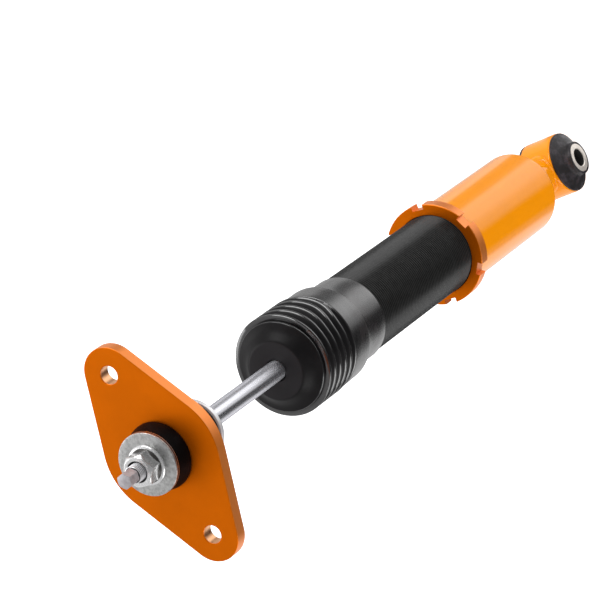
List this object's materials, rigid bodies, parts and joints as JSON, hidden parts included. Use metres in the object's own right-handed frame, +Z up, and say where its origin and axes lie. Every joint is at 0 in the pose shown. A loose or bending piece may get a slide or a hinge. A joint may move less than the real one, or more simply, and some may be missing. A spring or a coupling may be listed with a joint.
{
  "type": "coilover damper",
  "caption": "Height adjustable suspension damper: threaded tube in a screwed lower mount with a bushed eye, lock ring, ribbed dust boot, piston rod and two-bolt top plate.",
  "frame": {"origin": "middle of the lower eye's bore", "axes": "+Z up the piston rod to the top plate, +Y along the bore of the lower eye, +X to the right; upright with the rod fully out"},
  "size_m": [0.1326, 0.0734, 0.5887],
  "materials": {
    "orange_powder_coat": "gloss yellow-orange powder coat on welded steel",
    "copper_anodised": "satin copper-orange anodised, fine machining marks",
    "black_steel": "black coated steel with a fine thread",
    "raw_steel": "turned, uncoated",
    "zinc_steel": "bright zinc plated",
    "rod_chrome": "polished hard chrome",
    "machined_aluminium": "turned, satin",
    "sintered_iron": "sintered, matt",
    "black_rubber": "satin moulded rubber",
    "boot_rubber": "satin moulded rubber with bright edges",
    "cushion_foam": "microcellular foam",
    "stop_polymer": "cast polyurethane",
    "band_polymer": "bronze filled low friction band"
  },
  "bodies": {
    "bolted_sleeve": {"bush_sleeve": "raw_steel"},
    "lower_mount": {"eye_tube": "orange_powder_coat", "bush_shell": "raw_steel", "bush_rubber": "black_rubber", "mount_neck": "orange_powder_coat", "mount_cup": "orange_powder_coat", "foot_weld": "orange_powder_coat", "eye_weld": "orange_powder_coat"},
    "lock_ring": {"lock_ring": "copper_anodised"},
    "boot": {"dust_boot": "boot_rubber", "bump_cushion": "cushion_foam"},
    "damper_body": {"damper_tube": "black_steel", "base_plug": "machined_aluminium", "base_seal_ring": "black_rubber", "filling_screw": "raw_steel", "rod_guide": "machined_aluminium", "guide_seal_ring": "black_rubber", "rod_seal": "black_rubber", "rod_wiper": "black_rubber", "guide_clip": "raw_steel"},
    "gas_piston": {"floating_piston": "machined_aluminium", "floating_seal_ring": "black_rubber"},
    "rod": {"piston_rod": "rod_chrome", "rebound_stop": "stop_polymer", "rebound_stop_ring": "raw_steel", "rebound_shims": "raw_steel", "piston": "sintered_iron", "piston_band": "band_polymer", "compression_shims": "raw_steel", "piston_nut": "zinc_steel", "lower_washer": "zinc_steel", "lower_bush": "black_rubber", "crush_sleeve": "raw_steel", "upper_bush": "black_rubber", "upper_washer": "zinc_steel", "top_nut": "zinc_steel"},
    "top_plate": {"top_plate": "copper_anodised"}
  },
  "joints": [
    {"name": "bush_twist", "type": "hinge", "parent": "bolted_sleeve", "child": "lower_mount", "pos_m": [0, 0, 0], "axis": [0, 1, 0], "range_deg": [-15, 15], "stiffness_Nm_per_rad": 80},
    {"name": "lock_ring_travel", "type": "slide", "parent": "lower_mount", "child": "lock_ring", "axis": [0, 0, 1], "range_m": [0, 0.024]},
    {"name": "height_adjust", "type": "slide", "parent": "lower_mount", "child": "boot", "axis": [0, 0, 1], "range_m": [-0.0301, 0.0301]},
    {"name": "body_turn", "type": "hinge", "parent": "boot", "child": "damper_body", "pos_m": [0, 0, 0.2], "axis": [0, 0, 1], "range_deg": [-5400, 5400]},
    {"name": "damper_stroke", "type": "slide", "parent": "boot", "child": "rod", "axis": [0, 0, 1], "range_m": [-0.09, 0], "stiffness_N_per_m": 500, "springref_m": 0.4},
    {"name": "gas_piston_travel", "type": "slide", "parent": "damper_body", "child": "gas_piston", "axis": [0, 0, 1], "range_m": [-0.0065, 0.0005]},
    {"name": "plate_swivel", "type": "hinge", "parent": "rod", "child": "top_plate", "pos_m": [0, 0, 0.5257], "axis": [0, 0, 1], "continuous": true}
  ],
  "couplings": [
    {"joint": "height_adjust", "follows": "body_turn", "m_per_rad": 0.00031831},
    {"joint": "gas_piston_travel", "follows": "damper_stroke", "ratio": 0.068053}
  ]
}
